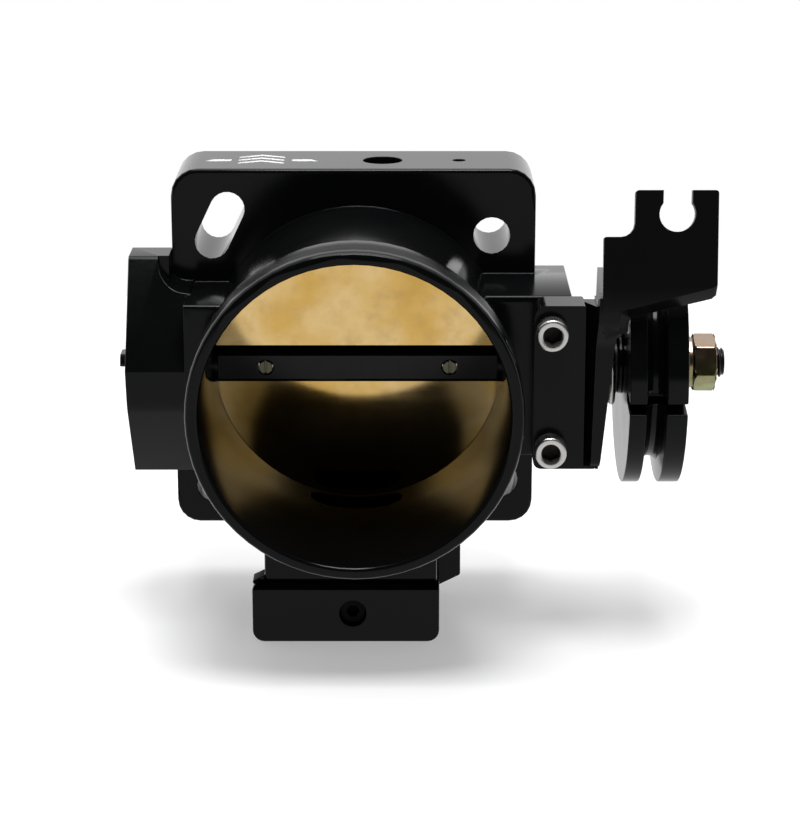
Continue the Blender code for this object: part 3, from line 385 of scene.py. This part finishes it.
def bright_steel():
    """Plain machined steel: fine turning lines and light smudges."""
    graph = Graph("machined_steel")
    clouds = graph.noise(240.0, 4.0)
    lines = graph.noise(2600.0, 1.0, graph.stretched((0.05, 1.0, 0.05)))
    graph.look(Base_Color=graph.blend(clouds, (0.50, 0.49, 0.47), (0.66, 0.65, 0.63)))
    graph.look(Metallic=1.0, Roughness=graph.remap(clouds, 0.3, 0.7, 0.20, 0.34))
    graph.look(Normal=graph.bump(lines, 0.003 * MM))
    return graph.material


def drawn_wire():
    """Drawn spring steel with a trace of oil."""
    graph = Graph("drawn_wire")
    clouds = graph.noise(330.0, 3.0)
    graph.look(Base_Color=graph.blend(clouds, (0.36, 0.35, 0.33), (0.58, 0.57, 0.55)))
    graph.look(Metallic=1.0, Roughness=graph.remap(clouds, 0.3, 0.7, 0.20, 0.36))
    graph.look(Normal=graph.bump(graph.noise(1800.0, 2.0), 0.003 * MM))
    return graph.material


def yellow_zinc():
    """Yellow passivated zinc: gold that drifts from green to pink across the piece."""
    graph = Graph("yellow_zinc")
    height = graph.remap(graph.axis("Z"), AXIS_Z - ZINC_FADE_Z, AXIS_Z + ZINC_FADE_Z, 0.1, 0.9)
    cloud = graph.remap(graph.noise(160.0, 3.0), 0.3, 0.7, -0.16, 0.16)
    stains = graph.noise(420.0, 4.0)
    film = graph.bands(
        graph.sum(height, cloud),
        [
            (0.10, (0.35, 0.37, 0.20)),
            (0.40, (0.27, 0.25, 0.12)),
            (0.62, (0.29, 0.22, 0.13)),
            (0.85, (0.40, 0.30, 0.23)),
        ],
    )
    graph.look(Base_Color=graph.blend(graph.remap(stains, 0.45, 0.8, 0.0, 0.45), film, (0.17, 0.13, 0.06)))
    graph.look(Metallic=1.0, Roughness=graph.remap(stains, 0.3, 0.7, 0.16, 0.28))
    graph.look(Normal=graph.bump(stains, 0.003 * MM))
    return graph.material


def dull_black(name, tone, rough_low, rough_high, grain_scale, grain_depth):
    """Black rubber and nylon, and the near-black painted shade on the port plug, by tone and grain."""
    graph = Graph(name)
    clouds = graph.noise(150.0, 4.0)
    grain = graph.noise(grain_scale, 3.0)
    graph.look(Base_Color=graph.blend(clouds, 0.5 * tone, 1.2 * tone))
    graph.look(Specular_IOR_Level=min(0.5, 25.0 * tone))
    graph.look(Roughness=graph.remap(clouds, 0.3, 0.7, rough_low, rough_high))
    graph.look(Normal=graph.bump(grain, grain_depth))
    return graph.material


def socket_grime():
    """Painted shade: a dark, rough material for the inside of a screw's socket, where the recess lies in
    shade.
    """
    graph = Graph("socket_grime")
    clouds = graph.noise(900.0, 3.0)
    graph.look(Base_Color=graph.blend(clouds, (0.010, 0.009, 0.008), (0.030, 0.028, 0.025)))
    graph.look(Roughness=graph.remap(clouds, 0.3, 0.7, 0.5, 0.7), IOR=1.25)
    graph.look(Normal=graph.bump(clouds, 0.004 * MM))
    return graph.material


def etched_grey():
    """Laser-etched mark: pale, dry and slightly broken up."""
    graph = Graph("etched_grey")
    flecks = graph.noise(1500.0, 3.0)
    graph.look(Base_Color=graph.blend(graph.remap(flecks, 0.35, 0.65, 0.0, 1.0), 0.50, 0.82))
    graph.look(Roughness=graph.remap(flecks, 0.3, 0.7, 0.55, 0.8))
    graph.look(Normal=graph.bump(flecks, 0.004 * MM))
    return graph.material


# ---------------------------------------------------------------- shapes

def add_object(name, mesh):
    made = bpy.data.objects.new(name, mesh)
    bpy.context.scene.collection.objects.link(made)
    return made


def finished(piece, body, slot, material, *nodes):
    """Give a new piece its finish and its body, and hide the CAD nodes it stands for. The slot is not
    used.
    """
    piece.data.materials.clear()
    piece.data.materials.append(material)
    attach(piece, body)
    if nodes:
        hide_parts(*nodes)
    return piece


def cad_copy(node):
    """The node's shape as one skin, with each flat face in one piece."""
    shape = bmesh.new()
    shape.from_mesh(frame["nodes"][node].data)
    bmesh.ops.remove_doubles(shape, verts=shape.verts, dist=WELD)
    bmesh.ops.dissolve_limit(
        shape, angle_limit=FLAT_ANGLE, verts=shape.verts, edges=shape.edges, delimit={"NORMAL"}
    )
    return shape


def object_from(name, shape):
    """Turn a bmesh into a smooth-shaded object."""
    mesh = bpy.data.meshes.new(name)
    shape.to_mesh(mesh)
    shape.free()
    custom = mesh.attributes.get("custom_normal")
    if custom:
        mesh.attributes.remove(custom)
    mesh.shade_smooth()
    return add_object(name, mesh)


def radius_edges(piece, width, segments=2, clamp=False):
    """Round every sharp edge, keeping flat faces flat."""
    edge = piece.modifiers.new("edge_radius", "BEVEL")
    edge.width = width
    edge.segments = segments
    edge.limit_method = "ANGLE"
    edge.angle_limit = SHARP_ANGLE
    edge.use_clamp_overlap = clamp
    edge.harden_normals = True
    edge.miter_outer = "MITER_ARC"
    return piece


def fine_copy(node, width, material, slot, clamp=False):
    """Stand-in for a CAD node with rounded edges."""
    piece = object_from(node + "_finished", cad_copy(node))
    radius_edges(piece, width, clamp=clamp)
    return finished(piece, frame["nodes"][node]["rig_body"], slot, material, node)


def soft_rimmed_housing(material):
    """Housing whose flange has a softer radius round its front than the other edges have."""
    shape = cad_copy("throttle_housing")
    shape.normal_update()
    weights = shape.edges.layers.float.new("bevel_weight_edge")
    for edge in shape.edges:
        if len(edge.link_faces) == 2 and edge.calc_face_angle() >= SHARP_ANGLE:
            edge[weights] = 1.0 if on_flange_rim(edge) else EDGE_R / RIM_R
    piece = object_from("throttle_housing_finished", shape)
    radius_edges(piece, RIM_R, 3).modifiers["edge_radius"].limit_method = "WEIGHT"
    return finished(piece, "housing", BLACK, material, "throttle_housing")


def on_flange_rim(edge):
    """Whether an edge lies on the outline of the flange's front face, clear of the side blocks."""
    for end in (vert.co for vert in edge.verts):
        up = abs(end.z - AXIS_Z)
        reach = max(abs(end.x - RIM_CENTRE_X) / RIM_HALF_WIDTH, up / RIM_HALF_HEIGHT)
        if abs(end.y - RIM_Y) > RIM_TOLERANCE or up < RIM_FROM or reach < RIM_REACH:
            return False
    return True


def close_fitting_plate(material):
    """Throttle plate whose rim nearly touches the bore when it is closed."""
    shape = cad_copy("throttle_plate")
    centre = Vector((0.0, 0.0, AXIS_Z))
    for vert in shape.verts:
        across = Vector((vert.co.x, 0.0, vert.co.z)) - centre
        if across.length > PLATE_RIM_FROM:
            across *= PLATE_FIT_R / across.length
            vert.co = Vector((across.x, vert.co.y, across.z + AXIS_Z))
    piece = object_from("throttle_plate_finished", shape)
    radius_edges(piece, PLATE_EDGE_R)
    return finished(piece, "throttle", "brass", material, "throttle_plate")


def ring_body(name, along, rings, steps):
    """Closed skin through rings round an axis; a ring is (distance, radius function of the angle)."""
    shape = bmesh.new()
    rows = []
    for distance, radius in rings:
        row = []
        for step in range(steps):
            angle = 2.0 * math.pi * step / steps
            reach = radius(angle)
            corner = Vector((reach * math.cos(angle), reach * math.sin(angle), distance))
            row.append(shape.verts.new(along @ corner))
        rows.append(row)
    for low, high in zip(rows, rows[1:]):
        for step in range(steps):
            after = (step + 1) % steps
            shape.faces.new((low[step], low[after], high[after], high[step]))
    shape.faces.new(reversed(rows[0]))
    shape.faces.new(rows[-1])
    bmesh.ops.recalc_face_normals(shape, faces=shape.faces)
    return object_from(name, shape)


def round_ring(radius):
    return lambda angle: radius


def hexagon_ring(across_flats):
    """Radius of a hexagon with flats across_flats apart, by angle."""
    sixth = math.pi / 3.0
    return lambda angle: across_flats / 2.0 / math.cos((angle + sixth / 2.0) % sixth - sixth / 2.0)


def knurled_ring(radius, depth, teeth):
    """Radius of a straight-knurled rim, by angle."""
    return lambda angle: radius - depth * (0.5 + 0.5 * math.cos(teeth * angle))


def thread_ring(root, crest, turn):
    """Radius of a thread's cross-section whose crest starts at a turn, by angle."""

    def radius(angle):
        phase = (angle / (2.0 * math.pi) - turn) % 1.0
        ridge = 1.0 - abs(2.0 * phase - 1.0)
        # A slope over 1 and the clamp leave a short flat on the root and on the crest.
        return root + (crest - root) * min(1.0, max(0.0, 1.4 * ridge - 0.2))

    return radius


def socket_screw(node, material, inside):
    """Socket head cap screw: knurled head, rounded rim, hexagon socket and a plain shank."""
    low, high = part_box(node)
    head_r = (high.x - low.x) / 2.0
    centre = (low + high) / 2.0
    length = high.y - low.y
    along = Matrix.Translation((centre.x, low.y, centre.z)) @ Matrix.Rotation(math.radians(-90.0), 4, "X")
    rings = [
        (SOCKET_DEPTH + 0.6 * MM, round_ring(0.05 * MM)),
        (SOCKET_DEPTH, hexagon_ring(SOCKET_WIDTH)),
        (0.45 * MM, hexagon_ring(SOCKET_WIDTH)),
        (0.05 * MM, round_ring(SOCKET_MOUTH_R - 0.05 * MM)),
        (0.0, round_ring(SOCKET_MOUTH_R)),
        (0.0, round_ring(head_r - HEAD_RIM)),
        (0.06 * MM, round_ring(head_r - HEAD_RIM * 0.6)),
        (0.2 * MM, round_ring(head_r - HEAD_RIM * 0.22)),
        (HEAD_RIM, round_ring(head_r - 0.02 * MM)),
        (HEAD_RIM + 0.3 * MM, knurled_ring(head_r, 0.0, KNURLS)),
        (HEAD_RIM + 0.5 * MM, knurled_ring(head_r, KNURL_DEPTH, KNURLS)),
        (HEAD_HEIGHT - 0.5 * MM, knurled_ring(head_r, KNURL_DEPTH, KNURLS)),
        (HEAD_HEIGHT - 0.3 * MM, knurled_ring(head_r, 0.0, KNURLS)),
        (HEAD_HEIGHT, round_ring(head_r - 0.1 * MM)),
        (HEAD_HEIGHT, round_ring(M5_SHANK_R + 0.2 * MM)),
        (HEAD_HEIGHT + 0.2 * MM, round_ring(M5_SHANK_R)),
        (length - 0.5 * MM, round_ring(M5_SHANK_R)),
        (length, round_ring(M5_SHANK_R - 0.5 * MM)),
    ]
    piece = ring_body(node + "_finished", along, rings, 6 * KNURLS)
    piece.data.set_sharp_from_angle(angle=SOCKET_CORNER)
    piece.modifiers.new("flat_faces", "WEIGHTED_NORMAL").keep_sharp = True
    finished(piece, "housing", STEEL, material, node)
    # The faces inside the socket get the second material, painted shade for the dark recess.
    piece.data.materials.append(inside)
    for face in piece.data.polygons:
        middle = along.inverted() @ face.center
        if middle.z < length / 2.0 and math.hypot(middle.x, middle.y) < SOCKET_MOUTH_R:
            face.material_index = 1
    return piece


def shaft_and_stud(material):
    """Shaft with rounded edges, its stud end replaced by an M8 thread."""
    stud_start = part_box("cam_nut")[1].x - STUD_INSIDE_NUT
    stud_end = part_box("throttle_shaft")[1].x
    shape = cad_copy("throttle_shaft")
    everything = shape.verts[:] + shape.edges[:] + shape.faces[:]
    cut = bmesh.ops.bisect_plane(
        shape, geom=everything, plane_co=(stud_start, 0.0, 0.0), plane_no=(1.0, 0.0, 0.0), clear_outer=True
    )
    rim = [item for item in cut["geom_cut"] if isinstance(item, bmesh.types.BMEdge)]
    bmesh.ops.edgeloop_fill(shape, edges=rim)
    shaft = radius_edges(object_from("throttle_shaft_finished", shape), SHAFT_EDGE_R)
    finished(shaft, "throttle", "shaft_black", material, "throttle_shaft")

    foot = Matrix.Translation((stud_start - THREAD_OVERLAP, 0.0, AXIS_Z))
    along = foot @ Matrix.Rotation(math.radians(90.0), 4, "Y")
    length = stud_end - stud_start + THREAD_OVERLAP
    rings = []
    for index in range(THREAD_RINGS + 1):
        distance = length * index / THREAD_RINGS
        crest = M8_CREST_R - max(0.0, distance - length + THREAD_CHAMFER)
        rings.append((distance, thread_ring(min(M8_ROOT_R, crest), crest, distance / M8_PITCH)))
    stud = ring_body("cam_stud_thread", along, rings, THREAD_POINTS)
    stud.data.set_sharp_from_angle(angle=THREAD_CORNER)
    finished(stud, "throttle", "shaft_black", material)


def spring_path():
    """Centre line of the return spring: a leg, the coil and a second leg, round the shaft axis."""
    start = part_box("return_spring")[0].x + WIRE_R
    points = [
        (start, -COIL_R + 1.2 * MM, UPRIGHT_LEG_TOP),
        (start, -COIL_R + 0.1 * MM, UPRIGHT_LEG_LOW),
    ]
    for index in range(int(COIL_TURNS * COIL_STEPS) + 1):
        turn = index / COIL_STEPS
        angle = math.pi + 2.0 * math.pi * turn
        points.append((start + COIL_PITCH * turn, COIL_R * math.cos(angle), COIL_R * math.sin(angle)))
    x, y, z = points[-1]
    points.append((x + 0.2 * MM, y - CAM_LEG_BEND, z - 0.2 * MM))
    points.append((x + 0.2 * MM, y - CAM_LEG_REACH, z - 1.6 * MM))
    return [(x, y, z + AXIS_Z) for x, y, z in points]


def return_spring(material):
    """Round wire swept along the spring's centre line."""
    points = spring_path()
    curve = bpy.data.curves.new("return_spring_finished", "CURVE")
    curve.dimensions = "3D"
    curve.bevel_depth = WIRE_R
    curve.bevel_resolution = 4
    curve.use_fill_caps = True
    line = curve.splines.new("POLY")
    line.points.add(len(points) - 1)
    for knot, point in zip(line.points, points):
        knot.co = (*point, 1.0)
    line.use_smooth = True
    guide = add_object("return_spring_path", curve)
    bpy.context.view_layer.update()
    mesh = bpy.data.meshes.new_from_object(guide.evaluated_get(bpy.context.evaluated_depsgraph_get()))
    bpy.data.objects.remove(guide)
    mesh.shade_smooth()
    piece = add_object("return_spring_finished", mesh)
    return finished(piece, "housing", "spring_steel", material, "return_spring")


def ball(node, material):
    """Smooth bearing ball."""
    low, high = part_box(node)
    centre = (low + high) / 2.0
    shape = bmesh.new()
    bmesh.ops.create_icosphere(shape, subdivisions=3, radius=BALL_R, matrix=Matrix.Translation(centre))
    piece = object_from(node + "_finished", shape)
    return finished(piece, frame["nodes"][node]["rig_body"], STEEL, material, node)


def flat_mark(name, centre, outline):
    """Thin flat mark from an outline of (x, y) points in millimetres, lying on a top face."""
    shape = bmesh.new()
    corners = [shape.verts.new((centre.x + x * MM, centre.y + y * MM, centre.z)) for x, y in outline]
    face = shape.faces.new(corners)
    raised = bmesh.ops.extrude_face_region(shape, geom=[face])
    lifted = [item for item in raised["geom"] if isinstance(item, bmesh.types.BMVert)]
    bmesh.ops.translate(shape, verts=lifted, vec=(0.0, 0.0, MARK_THICKNESS))
    bmesh.ops.recalc_face_normals(shape, faces=shape.faces)
    return object_from(name, shape)


def chevron(index):
    """Outline of one chevron, counted from the front."""
    half = CHEVRON_HALF_WIDTH
    low = CHEVRON_START + CHEVRON_STEP * index
    high = low + CHEVRON_STROKE
    return [
        (-half, low),
        (0.0, low + CHEVRON_RISE),
        (half, low),
        (half, high),
        (0.0, high + CHEVRON_RISE),
        (-half, high),
    ]


def bar(side):
    """Outline of the bar on one side (-1 or 1) of the chevrons."""
    inner = side * BAR_INNER
    outer = side * BAR_OUTER
    return [(inner, BAR_LOW), (outer, BAR_LOW), (outer - side * BAR_SLANT, BAR_HIGH), (inner, BAR_HIGH)]


def flow_mark(material):
    """Plain mark on the flange's top: three chevrons that point along the air flow, with two bars."""
    centre = Vector((MARK_X, MARK_Y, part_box("throttle_housing")[1].z + MARK_LIFT))
    for index in range(CHEVRONS):
        mark = flat_mark("flow_chevron_" + str(index + 1), centre, chevron(index))
        finished(mark, "housing", BLACK, material)
    for index, side in enumerate((-1.0, 1.0)):
        mark = flat_mark("flow_bar_" + str(index + 1), centre, bar(side))
        finished(mark, "housing", BLACK, material)


# ---------------------------------------------------------------- pieces

def dress_model():
    """Give every part its fine shape and its finish."""
    anodised = anodised_black()
    coated = coated_black()
    oxide = oxide_black()
    steel = bright_steel()
    wire = drawn_wire()
    zinc = yellow_zinc()
    screw_brass = dull_brass()
    rubber = dull_black("seal_rubber", 0.02, 0.55, 0.75, 1800.0, 0.010 * MM)
    nylon = dull_black("bush_nylon", 0.02, 0.35, 0.50, 900.0, 0.006 * MM)

    soft_rimmed_housing(anodised)
    fine_copy("cable_bracket", BROAD_EDGE_R, coated, BRACKET_BLACK, clamp=True)
    fine_copy("throttle_cam", BROAD_EDGE_R, anodised, BLACK)
    close_fitting_plate(mottled_brass())
    fine_copy("cam_nut", NUT_EDGE_R, zinc, "yellow_zinc")
    fine_copy("cam_washer", TURNED_EDGE_R, zinc, "yellow_zinc")
    # The port plug gets a near-black material: painted shade for its recessed hole.
    plug_grime = dull_black("plug_grime", 0.003, 0.50, 0.70, 900.0, 0.010 * MM)
    fine_copy("idle_port_plug", PLUG_EDGE_R, plug_grime, BLACK)
    fine_copy("plate_screw_left", FINE_EDGE_R, screw_brass, STEEL)
    fine_copy("plate_screw_right", FINE_EDGE_R, screw_brass, STEEL)
    fine_copy("idle_stop_screw", TURNED_EDGE_R, steel, STEEL)
    fine_copy("idle_stop_nut", STOP_NUT_EDGE_R, steel, STEEL)
    fine_copy("spring_bush", TURNED_EDGE_R, nylon, "nylon")
    for side in ("tps", "cam"):
        fine_copy(side + "_bearing_outer_ring", RING_EDGE_R, steel, STEEL)
        fine_copy(side + "_bearing_inner_ring", RING_EDGE_R, steel, STEEL)
        fine_copy(side + "_bearing_cage", FINE_EDGE_R, wire, "spring_steel")
        fine_copy(side + "_retaining_ring", RING_EDGE_R, wire, "spring_steel")
        fine_copy(side + "_shaft_seal", RING_EDGE_R, rubber, "rubber")
    for node in sorted(frame["nodes"]):
        if "_bearing_ball_" in node:
            ball(node, steel)
    # Painted shade for the inside of the screws' sockets.
    painted_socket_shade = socket_grime()
    socket_screw("bracket_screw_upper", steel, painted_socket_shade)
    socket_screw("bracket_screw_lower", steel, painted_socket_shade)
    shaft_and_stud(oxide)
    return_spring(wire)
    flow_mark(etched_grey())


# ---------------------------------------------------------------- studio

def floor():
    """White sheet that ends a little in front of the object."""
    outline = (
        (-SHEET_SIDE, SHEET_FRONT),
        (SHEET_SIDE, SHEET_FRONT),
        (SHEET_SIDE, SHEET_BACK),
        (-SHEET_SIDE, SHEET_BACK),
    )
    shape = bmesh.new()
    shape.faces.new([shape.verts.new((x, y, 0.0)) for x, y in outline])
    sheet = object_from("studio_floor", shape)
    graph = Graph("white_sheet")
    mirrored = graph.add("ShaderNodeLightPath").outputs["Is Glossy Ray"]
    paper = graph.blend(graph.noise(12.0, 3.0), 0.60, 0.63)
    graph.look(Base_Color=graph.blend(mirrored, paper, 0.0), Roughness=0.9, Specular_IOR_Level=0.0)
    graph.look(Emission_Color=(1.0, 1.0, 1.0, 1.0))
    graph.look(Emission_Strength=graph.remap(mirrored, 0.0, 1.0, FLOOR_FILL, DIM_FLOOR))
    sheet.data.materials.append(graph.material)


def surroundings():
    """White wall behind the object, darkness behind the camera and a dim floor below it.

    They light the object and show in its reflections, but the camera itself sees plain white.
    """
    world = bpy.data.worlds.new("studio")
    bpy.context.scene.world = world
    world.use_nodes = True
    tree = world.node_tree

    def ramp(direction, low, high, to_low, to_high):
        made = tree.nodes.new("ShaderNodeMapRange")
        made.interpolation_type = "SMOOTHSTEP"
        tree.links.new(split.outputs[direction], made.inputs["Value"])
        set_range(made, low, high, to_low, to_high)
        return made.outputs["Result"]

    place = tree.nodes.new("ShaderNodeTexCoord")
    split = tree.nodes.new("ShaderNodeSeparateXYZ")
    tree.links.new(place.outputs["Generated"], split.inputs[0])
    brighter = tree.nodes.new("ShaderNodeMath")
    brighter.operation = "MAXIMUM"
    tree.links.new(ramp("Y", -0.35, 0.25, DARK_SIDE, WHITE_WALL), brighter.inputs[0])
    tree.links.new(ramp("Z", -0.10, 0.0, DIM_FLOOR, DARK_SIDE), brighter.inputs[1])
    path = tree.nodes.new("ShaderNodeLightPath")
    direct = tree.nodes.new("ShaderNodeMix")
    direct.data_type = "RGBA"
    tree.links.new(path.outputs["Is Camera Ray"], direct.inputs["Factor"])
    tree.links.new(brighter.outputs[0], direct.inputs["A"])
    direct.inputs["B"].default_value = (1.0, 1.0, 1.0, 1.0)
    tree.links.new(direct.outputs["Result"], tree.nodes["Background"].inputs["Color"])


def soft_light(name, place, size, power):
    """Square area light aimed at the crossing of the axes."""
    light = bpy.data.lights.new(name, "AREA")
    light.shape = "SQUARE"
    light.size = size
    light.energy = power
    made = add_object(name, light)
    made.location = place
    towards = Vector((0.0, 0.0, AXIS_Z)) - made.location
    made.rotation_euler = towards.to_track_quat("-Z", "Y").to_euler()


def camera():
    """Long lens, a little above the object."""
    lens = bpy.data.cameras.new("camera")
    lens.sensor_width = SENSOR
    lens.lens = LENS
    made = add_object("camera", lens)
    made.location = CAMERA_PLACE
    made.rotation_euler = (math.radians(90.0) - CAMERA_DIP, 0.0, 0.0)
    bpy.context.scene.camera = made


def studio():
    bpy.context.scene.view_settings.view_transform = "Standard"
    floor()
    surroundings()
    soft_light("key", *KEY_LIGHT)
    soft_light("overhead", *OVERHEAD_LIGHT)
    camera()


dress_model()
studio()
